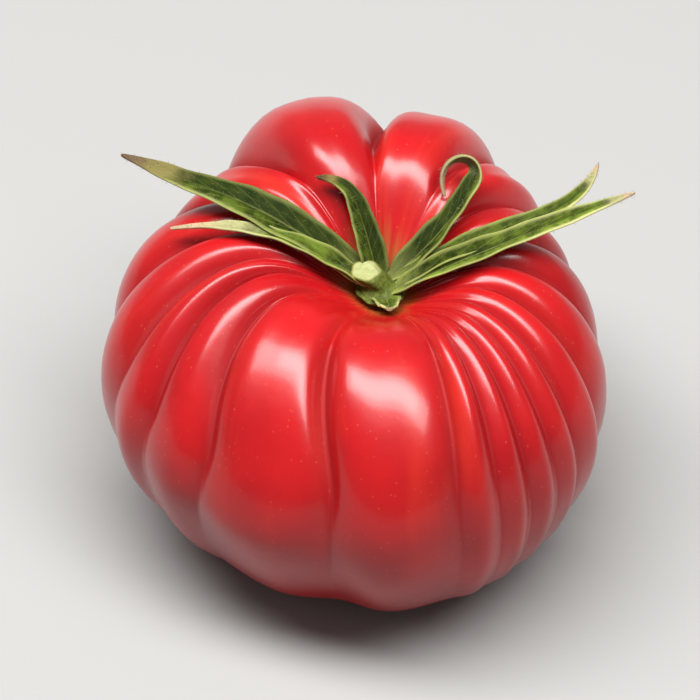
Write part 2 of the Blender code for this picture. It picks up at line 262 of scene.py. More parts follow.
@dataclass(frozen=True)
class SkinFinish:
    """The fruit's skin: ripe red, glossy, with paler streaks, fine flecks and corky scars, and painted
    shade lower down and in the grooves.
    """

    ripe: Colour = (0.385, 0.0055, 0.007)
    # The deeper red of random blotches and of the painted shade lower down
    deep: Colour = (0.25, 0.002, 0.0045)
    warm: Colour = (0.47, 0.026, 0.011)
    fleck: Colour = (0.56, 0.11, 0.055)
    # The painted shade in the grooves
    crease: Colour = (0.17, 0.002, 0.004)
    cork: Colour = (0.36, 0.22, 0.10)
    dark_cork: Colour = (0.16, 0.08, 0.035)
    green_ring: Colour = (0.30, 0.16, 0.03)
    glow: Colour = (1.0, 0.16, 0.10)
    gloss: float = 0.27
    blotch_size: float = 17.0 * MM
    dimple_size: float = 6.5 * MM
    dimple_depth: float = 0.09 * MM
    fleck_size: float = 1.0 * MM
    cork_grain: float = 0.7 * MM
    skin_grain: float = 0.55 * MM
    grain_depth: float = 0.006 * MM

    def material(self) -> bpy.types.Material:
        """Builds the skin's nodes.

        Returns:
            The material.
        """
        graph = Graph("tomato_skin")
        where = graph.place()
        flow = graph.attribute("flow", "Vector")
        down = graph.attribute("down")
        groove = graph.attribute("groove")
        blotches = graph.clouds(where, 1 / self.blotch_size, 3.0)
        streaks = graph.clouds(flow, 1.0, 3.0, 0.6)
        # Random blotches and painted shade towards the bottom, both in the deeper red
        blotches_and_painted_shade = blotches.within(0.35, 0.7) * 0.6 + down.within(0.3, 0.75) * 0.4
        colour = graph.mixed(blotches_and_painted_shade, self.ripe, self.deep)
        colour = graph.mixed(streaks.within(0.5, 0.75) * down.within(0.75, 0.2) * 0.5, colour, self.warm)
        colour = graph.mixed(down.within(0.72, 1.0) * 0.6, colour, self.warm)
        # Painted shade darkening the grooves
        colour = graph.mixed(groove ** 3.0 * 0.55, colour, self.crease)
        spots = graph.cells(where, 1 / self.fleck_size)
        chosen = graph.cells(where, 1 / self.fleck_size, "Color")
        flecks = spots.within(0.22, 0.08) * chosen.within(0.55, 0.8)
        colour = graph.mixed(flecks * 0.3, colour, self.fleck)
        frayed = graph.clouds(flow, 3.0, 3.0, 0.7) * 0.05
        colour = graph.mixed((down + frayed).within(0.085, 0.035) * 0.7, colour, self.green_ring)
        corky = graph.clouds(where, 1 / self.cork_grain, 4.0, 0.7)
        cork = graph.mixed(corky.within(0.3, 0.7), self.cork, self.dark_cork)
        colour = graph.mixed((down - frayed).within(0.925, 0.955) * 0.9, colour, cork)
        rough = self.gloss + blotches * 0.06 + flecks * 0.08 + groove.within(0.80, 0.97) * 0.4
        grain = graph.clouds(where, 1 / self.skin_grain, 2.0)
        dimples = graph.clouds(where, 1 / self.dimple_size, 2.0)
        normal = graph.bump(grain, self.grain_depth, graph.bump(dimples, self.dimple_depth))
        coat = groove.within(0.95, 0.75) * 0.32
        graph.dress({"Base Color": colour, "Roughness": rough, "Normal": normal, "Coat Weight": coat})
        graph.dress({"Coat Roughness": 0.15, "Specular IOR Level": 0.28, "Subsurface Weight": 0.10})
        return graph.dress({"Subsurface Scale": 2.0 * MM, "Subsurface Radius": self.glow})


@dataclass(frozen=True)
class LeafFinish:
    """One face of the sepals: fresh green with pale veins and margins, drying towards the tip, with painted
    shade on some sepals and in the fold, and a painted highlight on lit edges.
    """

    name: str
    green: Colour
    dark: Colour
    pale: Colour
    # The colour of the painted highlight on lit edges
    edge: Colour = (0.46, 0.45, 0.20)
    tip: Colour = (0.15, 0.12, 0.035)
    bleached_tip: Colour = (0.31, 0.295, 0.14)
    dry: Colour = (0.075, 0.045, 0.02)
    bleached_dry: Colour = (0.42, 0.30, 0.19)
    matt: float = 0.55
    blotch_size: float = 3.5 * MM
    fray_size: float = 2.0 * MM
    grain_size: float = 0.35 * MM
    grain_depth: float = 0.02 * MM
    vein_depth: float = 0.05 * MM
    vein_turns: float = 62.0
    vein_slant: float = 12.0
    vein_wander: float = 3.0
    lengthwise_turns: float = 15.0

    def material(self) -> bpy.types.Material:
        """Builds the face's nodes.

        Returns:
            The material.
        """
        graph = Graph(self.name)
        where = graph.place()
        along = graph.attribute("along")
        across = graph.attribute("across")
        tint = graph.attribute("tint")
        blotches = graph.clouds(where, 1 / self.blotch_size, 3.0, 0.6)
        colour = graph.mixed(blotches.within(0.3, 0.7), self.green, self.dark)
        # Painted shade darkens whole sepals and their far halves
        colour = graph.mixed(tint.within(0.0, 1.0) * 0.92, colour, self.dark)
        out = across.changed("ABSOLUTE")
        rib = out.within(0.10, 0.02)
        margin = out.within(0.70, 0.98)
        # Painted shade in the fold along the midrib
        colour = graph.mixed(out.within(0.45, 0.05) * 0.45, colour, self.dark)
        wander = blotches * self.vein_wander
        slant = (along * self.vein_turns - out * self.vein_slant + wander).changed("SINE")
        lengthwise = (across * self.lengthwise_turns + wander).changed("SINE")
        veins = slant.within(0.75, 1.0) * 0.6 + lengthwise.within(0.7, 1.0) * 0.25
        colour = graph.mixed(veins * (0.24 - tint * 0.16), colour, self.pale)
        colour = graph.mixed(rib * along.within(0.9, 0.2) * (0.35 - tint * 0.2), colour, self.pale)
        colour = graph.mixed(margin * (0.75 - tint * 0.45), colour, self.pale)
        # A painted highlight along the outer edges of the sepals without painted shade
        lit_edge = out.within(0.55, 0.95) * along.within(0.35, 0.75) * tint.within(0.7, 0.2)
        colour = graph.mixed(lit_edge * 0.7, colour, self.edge)
        colour = graph.mixed(along.within(0.2, 0.0) * 0.3, colour, self.pale)
        frayed = graph.clouds(where, 1 / self.fray_size, 2.0) * 0.3 - 0.15
        dryness = graph.attribute("dryness") + frayed
        bleached = graph.attribute("bleached")
        tip = graph.mixed(bleached, self.tip, self.bleached_tip)
        dry = graph.mixed(bleached, self.dry, self.bleached_dry)
        colour = graph.mixed(dryness.within(0.1, 0.6) * 0.9, colour, tip)
        colour = graph.mixed(dryness.within(0.65, 1.0), colour, dry)
        grain = graph.clouds(where, 1 / self.grain_size, 2.0)
        normal = graph.bump(grain, self.grain_depth, graph.bump(veins, self.vein_depth))
        rough = self.matt + blotches * 0.15
        graph.dress({"Base Color": colour, "Roughness": rough, "Normal": normal})
        graph.dress({"Specular IOR Level": 0.05})
        return graph.dress({"Subsurface Weight": 0.12, "Subsurface Scale": 0.8 * MM})


LEAF_ABOVE = LeafFinish("sepal_above", (0.130, 0.182, 0.018), (0.008, 0.015, 0.001), (0.27, 0.29, 0.085))
LEAF_BELOW = LeafFinish("sepal_below", (0.110, 0.155, 0.030), (0.026, 0.044, 0.007), (0.24, 0.27, 0.10))


@dataclass(frozen=True)
class StalkFinish:
    """The green of the disc and the stub, and the pale cut end with its dry brown rim."""

    name: str = "stalk_green"
    green: Colour = (0.100, 0.125, 0.018)
    dark: Colour = (0.050, 0.064, 0.007)
    pith: Colour = (0.29, 0.31, 0.13)
    rim: Colour = (0.19, 0.16, 0.05)
    fibre_size: float = 0.9 * MM
    fibre_depth: float = 0.10 * MM

    def material(self) -> bpy.types.Material:
        """Builds the nodes of the green and the cut end.

        Returns:
            The material.
        """
        graph = Graph(self.name)
        end = graph.attribute("cut_end")
        fibres = graph.clouds(graph.place(), 1 / self.fibre_size, 3.0, 0.65)
        colour = graph.mixed(fibres.within(0.35, 0.65), self.green, self.dark)
        colour = graph.mixed(end.within(0.15, 0.5), colour, self.rim)
        pith = graph.mixed(fibres.within(0.4, 0.75) * 0.5, self.pith, self.rim)
        colour = graph.mixed(end.within(0.55, 0.85), colour, pith)
        normal = graph.bump(fibres, self.fibre_depth)
        graph.dress({"Base Color": colour, "Roughness": 0.6, "Normal": normal})
        graph.dress({"Specular IOR Level": 0.2})
        return graph.dress({"Subsurface Weight": 0.1, "Subsurface Scale": 0.6 * MM})


@dataclass(frozen=True)
class HairFinish:
    """The short clear hairs of the leaves."""

    colour: Colour = (0.13, 0.16, 0.07)
    pale: Colour = (0.22, 0.24, 0.14)
    patch_size: float = 4.0 * MM

    def material(self) -> bpy.types.Material:
        """Builds the material: a little paler here and there.

        Returns:
            The material.
        """
        graph = Graph("leaf_hair")
        patches = graph.clouds(graph.place(), 1 / self.patch_size)
        return graph.dress({"Base Color": graph.mixed(patches, self.colour, self.pale), "Roughness": 0.5})


@dataclass(frozen=True)
class FloorFinish:
    """A plain pale floor."""

    colour: Colour = (0.30, 0.297, 0.29)

    def material(self) -> bpy.types.Material:
        """Builds the material: one matt colour."""
        values = {"Base Color": self.colour, "Roughness": 0.75, "Specular IOR Level": 0.2}
        return Graph("pale_floor").dress(values)


# Modelling tools


@contextmanager
def editing(piece: bpy.types.Object) -> Iterator[None]:
    """Holds the piece in edit mode, alone selected and with nothing in it selected.

    Args:
        piece: A mesh object.

    Yields:
        Nothing.
    """
    only(piece)
    bpy.ops.object.mode_set(mode="EDIT")
    bpy.ops.mesh.select_all(action="DESELECT")
    yield
    bpy.ops.object.mode_set(mode="OBJECT")


def only(piece: bpy.types.Object) -> None:
    """Makes the piece the one that is selected and active.

    Args:
        piece: A mesh object.
    """
    bpy.ops.object.select_all(action="DESELECT")
    piece.select_set(True)
    bpy.context.view_layer.objects.active = piece


def added(name: str) -> bpy.types.Object:
    """Names the object that was just made, and its mesh.

    Args:
        name: The name of both.

    Returns:
        The object.
    """
    piece = bpy.context.object
    piece.name = name
    piece.data.name = name
    return piece


def points_of(piece: bpy.types.Object) -> np.ndarray:
    """Reads where the piece's vertices are.

    Args:
        piece: A mesh object.

    Returns:
        One row for each vertex.
    """
    flat = np.empty(len(piece.data.vertices) * 3)
    piece.data.vertices.foreach_get("co", flat)
    return flat.reshape(-1, 3)


def move_to(piece: bpy.types.Object, points: np.ndarray) -> None:
    """Moves the piece's vertices to the points."""
    piece.data.vertices.foreach_set("co", points.ravel())
    piece.data.update()


def keep_values(piece: bpy.types.Object, **values: np.ndarray) -> None:
    """Stores numbers or vectors for each vertex.

    Args:
        piece: A mesh object.
        values: By the name that the materials use, one number or one row of three for each vertex.
    """
    for name, rows in values.items():
        kind, field_name = ("FLOAT_VECTOR", "vector") if rows.ndim == 2 else ("FLOAT", "value")
        piece.data.attributes.new(name, kind, "POINT").data.foreach_set(field_name, rows.ravel())


def finished(piece: bpy.types.Object) -> bpy.types.Object:
    """Applies the piece's modifiers, turns its faces outwards and shades it smooth.

    Args:
        piece: A mesh object.

    Returns:
        The same object.
    """
    only(piece)
    for modifier in list(piece.modifiers):
        bpy.ops.object.modifier_apply(modifier=modifier.name)
    with editing(piece):
        bpy.ops.mesh.select_all(action="SELECT")
        bpy.ops.mesh.normals_make_consistent(inside=False)
    bpy.ops.object.shade_smooth()
    return piece


def joined(pieces: list[bpy.types.Object], name: str) -> bpy.types.Object:
    """Joins pieces in one object.

    Args:
        pieces: Mesh objects, the first of which takes in the others.
        name: The name of the whole.

    Returns:
        The joined object.
    """
    bpy.ops.object.select_all(action="DESELECT")
    for piece in pieces:
        piece.select_set(True)
    bpy.context.view_layer.objects.active = pieces[0]
    bpy.ops.object.join()
    return added(name)


def made_once(finish: LeafFinish | StalkFinish) -> bpy.types.Material:
    """The finish's material, built at the first call."""
    return bpy.data.materials.get(finish.name) or finish.material()


def hand_over(piece: bpy.types.Object, node: str) -> None:
    """Rides a finished piece on the body in place of a node.

    Args:
        piece: The piece.
        node: The node it stands for.
    """
    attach(piece, "root")
    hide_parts(node)
    log.info("%s: %d faces for %s", piece.name, len(piece.data.polygons), node)


# The fruit


@dataclass(frozen=True)
class Lobe:
    """One lobe, with the groove at its clockwise side.

    Attributes:
        width_deg: The angle it takes round the stalk.
        groove_mm: The depth of the groove.
        reach: The share of the way down at which the groove has faded out.
        drift_deg: How much further clockwise the groove starts than it stands at the girth.
        radius_mm: From the stalk's axis to the lobe's ridge at the girth.
        lift_mm: How much higher its shoulder stands.
        taper: The exponent of the sine and cosine down its ridge.
    """

    width_deg: float
    groove_mm: float
    reach: float
    drift_deg: float
    radius_mm: float
    lift_mm: float
    taper: float


LOBES = (
    Lobe(30, 4.4, 1.10, 15, 45.4, 0.2, 0.94),
    Lobe(10, 2.3, 0.95, -5, 44.4, 0.2, 0.90),
    Lobe(9, 1.6, 0.85, -5, 43.4, 0.4, 0.96),
    Lobe(9, 1.8, 0.90, -5, 42.4, 0.6, 1.00),
    Lobe(10, 1.6, 0.80, -5, 41.4, 0.8, 1.00),
    Lobe(15, 2.2, 0.85, -5, 40.2, 0.8, 0.98),
    Lobe(20, 3.0, 0.95, -4, 38.6, 0.8, 0.94),
    Lobe(20, 2.6, 0.80, -2, 37.4, 1.0, 0.90),
    Lobe(18, 3.0, 0.90, 0, 37.0, 1.6, 0.88),
    Lobe(19, 3.4, 0.85, 0, 40.6, 3.6, 0.86),
    Lobe(28, 4.2, 0.90, 0, 48.6, 6.2, 0.86),
    Lobe(44, 7.4, 0.95, -8, 53.2, 7.6, 0.86),
    Lobe(20, 6.0, 0.95, 0, 46.0, 3.0, 0.88),
    Lobe(22, 3.0, 0.85, 4, 47.4, 2.0, 0.88),
    Lobe(20, 2.9, 0.90, 9, 47.6, 1.6, 0.92),
    Lobe(14, 2.2, 0.80, 14, 46.8, 1.2, 1.00),
    Lobe(19, 2.6, 0.90, 21, 45.8, 1.6, 1.06),
    Lobe(33, 3.4, 0.90, 24, 45.2, 2.2, 1.12),
)


@dataclass
class Fruit:
    """The ribbed red fruit, a sphere whose every vertex a formula moves to its place on the skin."""

    finish: SkinFinish = SkinFinish()
    first_groove_deg: float = -102.0
    equator_height: float = 31.0 * MM
    crown_height: float = 31.0 * MM
    stalk_hollow_depth: float = 13.5 * MM
    stalk_hollow_radius: float = 14.5 * MM
    blossom_hollow_depth: float = 4.4 * MM
    blossom_hollow_radius: float = 8.0 * MM
    underside_taper: float = 0.86
    underside_down: tuple[float, float] = (0.5, 0.75)
    base_flat: float = 2.4 * MM
    shoulder_rounding: float = 3.8 * MM
    sharpest_fall: float = 4.4
    ridge_breadth: float = 1.5
    groove_opens: tuple[float, float] = (0.02, 0.22)
    groove_fades_from: float = 0.2
    groove_left_below: float = 0.08
    crease_to_wave: tuple[float, float] = (0.25, 0.75)
    drift_down: tuple[float, float] = (0.08, 0.42)
    sideways_cut_from: float = 0.5
    lump_size: float = 34.0 * MM
    lump_height: float = 0.6 * MM
    lump_place: Vector = field(default_factory=lambda: Vector((3.1, 0.7, 5.2)))
    knob_size: float = 9.0 * MM
    knob_height: float = 0.10 * MM
    knob_place: Vector = field(default_factory=lambda: Vector((7.7, 2.4, 1.9)))
    flute_height: float = 0.06 * MM
    flute_deg: float = 9.0
    widest_deg: float = 45.0
    wrinkle_height: float = 0.12 * MM
    pucker_height: float = 0.16 * MM
    columns_per_lobe: int = 22
    column_bunching: float = 0.45
    rings: int = 140
    ring_bunching: float = 1.25
    flow_scale: tuple[float, float, float] = (5.5, 5.5, 2.2)
    shift: Vector = field(default_factory=Vector)

    def build(self) -> bpy.types.Object:
        """Makes the fruit, dresses it and finds where the stalk's axis stands in the frame.

        Returns:
            The finished piece.
        """
        columns = self.columns_per_lobe * len(LOBES)
        bpy.ops.mesh.primitive_uv_sphere_add(segments=columns, ring_count=self.rings, radius=1.0)
        fruit = added("tomato_fruit")
        ball = points_of(fruit)
        ring = np.round(self.rings * np.arccos(np.clip(ball[:, 2], -1, 1)) / math.pi)
        column = np.round(columns * np.arctan2(ball[:, 1], ball[:, 0]) / math.tau) % columns
        down = (ring / self.rings) ** self.ring_bunching
        number = (column // self.columns_per_lobe).astype(int) % len(LOBES)
        share = (column % self.columns_per_lobe) / self.columns_per_lobe
        across = share - self.column_bunching * np.sin(math.tau * share) / math.tau
        move_to(fruit, self._skin(number, across, down))
        soften = fruit.modifiers.new("soft_grooves", "SMOOTH")
        soften.factor = 0.5
        soften.iterations = 2
        fruit = finished(fruit)
        self._centre(fruit)
        turn = np.radians(self._girth_angle(number, across))
        flow = np.column_stack((np.cos(turn), np.sin(turn), down)) * self.flow_scale
        groove = np.abs(2 * across - 1) * band((0.02, 0.2), (1.0, 0.3), down)
        keep_values(fruit, down=down, groove=groove, flow=flow)
        fruit.data.materials.append(self.finish.material())
        hand_over(fruit, "fruit")
        return fruit

    def _centre(self, fruit: bpy.types.Object) -> None:
        """Moves the fruit's mesh into the CAD fruit's box and keeps the shift.

        Args:
            fruit: The fruit, with the stalk's axis at x = y = 0.
        """
        low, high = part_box("fruit")
        points = points_of(fruit)
        own_low, own_high = Vector(points.min(axis=0)), Vector(points.max(axis=0))
        self.shift = (low + high - own_low - own_high) / 2
        self.shift.z = low.z - own_low.z
        move_to(fruit, points + np.array(self.shift))

    def _girth_angle(self, number: np.ndarray, across: np.ndarray) -> np.ndarray:
        """The angle round the stalk at the girth.

        Args:
            number: The lobe under each vertex.
            across: How far across it each vertex is.

        Returns:
            The angle of each vertex, in degrees.
        """
        widths = np.array([lobe.width_deg for lobe in LOBES])
        starts = self.first_groove_deg + np.concatenate(([0.0], np.cumsum(widths)[:-1]))
        return starts[number] + across * widths[number]

    def _eased(self, number: np.ndarray, across: np.ndarray, name: str) -> np.ndarray:
        """A lobe's value at its ridge, eased over to its neighbour's across the groove.

        Args:
            number: The lobe under each vertex.
            across: How far across it each vertex is.
            name: The value's name in the table of lobes.

        Returns:
            The value at each vertex.
        """
        values = np.array([getattr(lobe, name) for lobe in LOBES], dtype=float)
        beside = (number + np.where(across < 0.5, -1, 1)) % len(LOBES)
        share = 0.5 * smoothstep(0.0, 1.0, 2 * np.abs(across - 0.5)) ** self.ridge_breadth
        return values[number] + (values[beside] - values[number]) * share

    def _groove_depth(self, number: np.ndarray, across: np.ndarray, down: np.ndarray) -> np.ndarray:
        """How deep each vertex lies under the ridges, in a crease above and a wave below.

        Args:
            number: The lobe under each vertex.
            across: How far across it each vertex is.
            down: The share of the way from the stalk to the blossom end.

        Returns:
            The depth at each vertex.
        """
        depths = np.array([lobe.groove_mm for lobe in LOBES]) * MM
        reaches = np.array([lobe.reach for lobe in LOBES])
        half_widths = np.array([math.radians(lobe.width_deg) / 2 * lobe.radius_mm for lobe in LOBES]) * MM
        edge = (number + np.where(across < 0.5, 0, 1)) % len(LOBES)
        towards_groove = np.abs(2 * across - 1)
        falls = np.minimum(self.sharpest_fall, 1 + half_widths[number] / self.shoulder_rounding)
        crease = towards_groove**falls
        wave = 0.5 - 0.5 * np.cos(math.pi * towards_groove)
        falling = crease + (wave - crease) * smoothstep(*self.crease_to_wave, down)
        fading = 1 - (1 - self.groove_left_below) * smoothstep(self.groove_fades_from, reaches[edge], down)
        return depths[edge] * falling * smoothstep(*self.groove_opens, down) * fading

    def _skin(self, number: np.ndarray, across: np.ndarray, down: np.ndarray) -> np.ndarray:
        """The place of each vertex, with the stalk's axis at x = y = 0.

        Args:
            number: The lobe under each vertex.
            across: How far across it each vertex is, from groove to groove.
            down: The share of the way from the stalk to the blossom end.

        Returns:
            One row for each vertex.
        """
        polar = math.pi * down
        ridge = self._eased(number, across, "radius_mm") * MM
        lift = self._eased(number, across, "lift_mm") * MM
        taper = self._eased(number, across, "taper")
        taper += (self.underside_taper - taper) * smoothstep(*self.underside_down, down)
        out = ridge * np.maximum(0.0, np.sin(polar)) ** taper
        steep = np.abs(np.cos(polar)) ** taper
        above = (self.crown_height + lift) * steep
        above -= (self.stalk_hollow_depth + lift) * np.exp(-((out / self.stalk_hollow_radius) ** 2))
        below = self.blossom_hollow_depth * np.exp(-((out / self.blossom_hollow_radius) ** 2))
        height = np.where(polar < math.pi / 2, above, below - self.equator_height * steep)
        lean = np.arctan2(np.maximum(height, 0.0) / self.crown_height, out / ridge)
        depth = self._groove_depth(number, across, down)
        out -= depth * np.cos(lean) * np.minimum(1.0, out / (self.sideways_cut_from * ridge))
        height -= depth * np.sin(lean)
        turn = np.radians(self._turned(number, across, down))
        points = np.column_stack((out * np.cos(turn), out * np.sin(turn), self.equator_height + height))
        outwards = np.column_stack((points[:, 0], points[:, 1], height))
        outwards /= np.linalg.norm(outwards, axis=1)[:, None]
        points += outwards * self._relief(points, number, across, down)[:, None]
        points[:, 2] = np.maximum(points[:, 2], self.base_flat)
        return points

    def _turned(self, number: np.ndarray, across: np.ndarray, down: np.ndarray) -> np.ndarray:
        """The angle round the stalk, with the swing of the grooves near the stalk.

        Args:
            number: The lobe under each vertex.
            across: How far across it each vertex is.
            down: The share of the way from the stalk to the blossom end.

        Returns:
            The angle of each vertex, in degrees.
        """
        drifts = np.array([lobe.drift_deg for lobe in LOBES], dtype=float)
        drift = drifts[number] * (1 - across) + drifts[(number + 1) % len(LOBES)] * across
        return self._girth_angle(number, across) - drift * (1 - smoothstep(*self.drift_down, down))

    def _relief(
        self, points: np.ndarray, number: np.ndarray, across: np.ndarray, down: np.ndarray
    ) -> np.ndarray:
        """How far each vertex stands out of the smooth form.

        Args:
            points: The vertices on the smooth form.
            number: The lobe under each vertex.
            across: How far across it each vertex is, from groove to groove.
            down: The share of the way from the stalk to the blossom end.

        Returns:
            The height of the lumps, knobs, flutes, wrinkles and puckers at each vertex.
        """
        middle = band((0.05, 0.3), (1.0, 0.8), down)
        relief = noise_at(points, self.lump_size, self.lump_place) * self.lump_height * middle
        relief += noise_at(points, self.knob_size, self.knob_place) * self.knob_height * middle
        widths = np.array([lobe.width_deg for lobe in LOBES])[number]
        flutes = np.cos(math.tau * across * np.maximum(1, np.round(widths / self.flute_deg)) + number)
        flutes *= widths / self.widest_deg * band((0.05, 0.16), (0.5, 0.2), down)
        wrinkles = np.sin(math.tau * 3 * across) * band((0.015, 0.05), (0.2, 0.1), down)
        puckers = np.sin(math.tau * 2 * across + number) * band((0.88, 0.94), (1.0, 0.96), down)
        relief += flutes * self.flute_height + wrinkles * self.wrinkle_height
        return relief + puckers * self.pucker_height


# The calyx


@dataclass(frozen=True)
class Sepal:
    """One sepal.

    Attributes:
        root_deg: The angle at which it leaves the disc.
        middle: The midrib's radius, angle and height above the seat halfway.
        tip: The same at the tip, before the end curls.
        width_mm: Its greatest width.
        fold_deg: How steeply its halves rise from the midrib.
        twist_deg: Its turn from root to tip.
        curl_deg: How far its end curls over.
        curl_towards_deg: The way it curls, as an angle round the stalk.
        tint: How far painted shade darkens its green, from 0 to 1.
        dry_from: The share of its length from which it has dried.
        bleached: How pale its dry end is, from 0 to 1.
    """

    root_deg: float
    middle: tuple[float, float, float]
    tip: tuple[float, float, float]
    width_mm: float
    fold_deg: float
    twist_deg: float
    curl_deg: float
    curl_towards_deg: float
    tint: float
    dry_from: float
    bleached: float


SEPALS = (
    Sepal(150, (24.0, 158, 11.5), (51.0, 150, 9.5), 9.0, 22, -12, 0, 0, 0.85, 0.72, 0.1),
    Sepal(176, (19.0, 171, 11.4), (36.7, 166, 8.0), 5.2, 34, 12, 0, 0, 0.0, 0.45, 1.0),
    Sepal(112, (11.0, 114, 13.0), (17.5, 116, 18.0), 6.0, 22, 20, 60, 180, 1.0, 0.86, 0.0),
    Sepal(56, (17.0, 37, 9.5), (29.5, 52, 24.5), 6.8, 30, -25, 195, 180, 0.8, 0.62, 0.6),
    Sepal(20, (21.5, 13, 10.5), (44.5, 21, 12.5), 6.2, 34, 22, 40, 90, 0.3, 0.90, 0.9),
    Sepal(-45, (20.0, 4, 11.0), (45.0, 18, 11.5), 6.6, 40, 18, 0, 0, 0.1, 0.93, 0.9),
    Sepal(-74, (4.2, -76, 3.0), (7.8, -80, 4.8), 5.6, 14, 0, 0, 0, 0.0, 0.95, 0.5),
)


# The insets of the stub's cut end from its rim inwards: width and rise, in millimetres
CUT_END_RINGS = ((0.12, 0.0), (0.35, 0.0), (0.25, -0.5), (0.6, 0.12), (0.5, -0.1))


@dataclass
class Calyx:
    """The sepals, the disc they grow from, the cut stub of the stalk and the hairs on them."""

    fruit: Fruit
    fruit_skin: BVHTree
    above: LeafFinish = LEAF_ABOVE
    below: LeafFinish = LEAF_BELOW
    stalk: StalkFinish = StalkFinish()
    hair: HairFinish = HairFinish()
    gap: float = 0.35 * MM
    disc_radius: float = 4.4 * MM
    disc_swell: float = 0.32
    disc_top: float = 3.5 * MM
    stub_radius: float = 2.6 * MM
    stub_top: float = 6.3 * MM
    stub_lean: tuple[float, float, float] = (-0.95, 0.1, 0.0)
    stub_cuts: int = 7
    stub_flare: float = 0.55
    stub_waist: float = 0.10
    stub_ribs: tuple[int, float] = (5, 0.06)
    disc_ribs: tuple[int, float] = (9, 0.035)
    disc_bowl: float = 1.425 * MM
    disc_lowered: float = 1.4 * MM
    disc_thinned: float = 1.2 * MM
    blade_thickness: float = 0.6 * MM
    margin_thinning: float = 0.45
    root_radius: float = 1.6 * MM
    root_height: float = 2.5 * MM
    root_share: float = 0.7
    full_from: float = 0.28
    waist: float = 0.45
    waist_until: float = 0.09
    root_fold: float = 0.35
    folded_from: float = 0.20
    tip_width: float = 0.4 * MM
    narrows: tuple[float, float] = (1.7, 0.85)
    unevenness: float = 0.07
    trough: float = 1.3
    opening: float = 0.35
    ripple: float = 0.09
    ripples: tuple[tuple[float, ...], ...] = ((1.0, 15.0, 2.3, 1.4), (0.6, 37.0, 4.1, 2.0))
    rib_depth: float = 0.18 * MM
    rib_width: float = 0.14
    curl_from: float = 0.58
    drying: float = 0.12
    # How much painted shade falls on the far half of each sepal
    far_side_tint: float = 0.4
    blade_columns: int = 12
    blade_rows: int = 64
    rest_share: float = 0.125
    most_hairs: int = 520
    hair_length: float = 0.7 * MM
    hair_radius: float = 0.035 * MM
    hair_root: float = 0.05 * MM
    hair_lean: float = 0.45
    hair_sizes: tuple[float, float] = (0.5, 1.2)
    seed: int = 7

    def build(self) -> list[bpy.types.Object]:
        """Makes and dresses the calyx.

        Returns:
            Its pieces.
        """
        blades = [self._blade(sepal, number) for number, sepal in enumerate(SEPALS)]
        hairs = self._hairs(blades)
        pieces = [joined(blades, "sepals"), hairs, self._disc(), self._stub()]
        for piece in pieces:
            hand_over(piece, "calyx")
        return pieces

    @property
    def seat(self) -> Vector:
        """Where the calyx sits.

        Returns:
            The bottom of the stalk's hollow, in the frame.
        """
        fruit = self.fruit
        height = fruit.equator_height + fruit.crown_height - fruit.stalk_hollow_depth
        return fruit.shift + Vector((0.0, 0.0, height))

    def _polar(self, radius_mm: float, degrees: float, height_mm: float) -> Vector:
        """A point from its distance and angle round the stalk's axis, and its height above the seat."""
        turn = math.radians(degrees)
        return self.seat + Vector((radius_mm * math.cos(turn), radius_mm * math.sin(turn), height_mm)) * MM

    def _midrib(self, sepal: Sepal) -> list[tuple[Vector, Vector]]:
        """The midrib, from root to tip.

        Args:
            sepal: The sepal.

        Returns:
            The point, and the unit vector towards the tip, of each row.
        """
        root = self._polar(self.root_radius / MM, sepal.root_deg, self.root_height / MM)
        middle, tip = self._polar(*sepal.middle), self._polar(*sepal.tip)
        to_middle = (middle - root).length
        bend = to_middle / (to_middle + (tip - middle).length)
        # The curve with one control point that passes through the middle
        pull = (middle - root * (1 - bend) ** 2 - tip * bend**2) / (2 * bend * (1 - bend))
        towards = math.radians(sepal.curl_towards_deg)
        axis = (tip - middle).cross(Vector((math.cos(towards), math.sin(towards), 0.0)))

        def pace(along: float) -> Vector:
            """The way the midrib runs, scaled to its whole length.

            Args:
                along: The share of its length.

            Returns:
                The way there.
            """
            curled = math.radians(sepal.curl_deg) * float(smoothstep(self.curl_from, 1.0, along))
            straight = (pull - root) * (1 - along) + (tip - pull) * along
            return Matrix.Rotation(curled, 3, axis) @ straight * 2

        line, point = [], root
        for row in range(self.blade_rows + 1):
            along = row / self.blade_rows
            line.append((point, pace(along).normalized()))
            point = point + pace(along + 0.5 / self.blade_rows) / self.blade_rows
        return line

    def _width(self, sepal: Sepal, number: int, along: float) -> float:
        """The sepal's width, with a slightly uneven outline.

        Args:
            sepal: The sepal.
            number: Its number, which sets its unevenness apart.
            along: The share of its length.

        Returns:
            The width there.
        """
        uneven = 1 + self.unevenness * noise.noise(Vector((along * 9, number * 3.3, 0.5)))
        full = (sepal.width_mm * MM - self.tip_width) * uneven
        full *= grown(self.root_share, self.full_from, along) * grown(self.waist, self.waist_until, along)
        return self.tip_width + full * (1 - along ** self.narrows[0]) ** self.narrows[1]

    def _rows(self, sepal: Sepal, number: int, places: np.ndarray) -> list[list[Vector]]:
        """The points of the blade's middle surface, row by row.

        Args:
            sepal: The sepal.
            number: Its number, which sets its ripples apart.
            places: The places across it, from -1 to 1.

        Returns:
            One list of points for each row.
        """
        rows = []
        side = None
        for row, (centre, way) in enumerate(self._midrib(sepal)):
            along = row / self.blade_rows
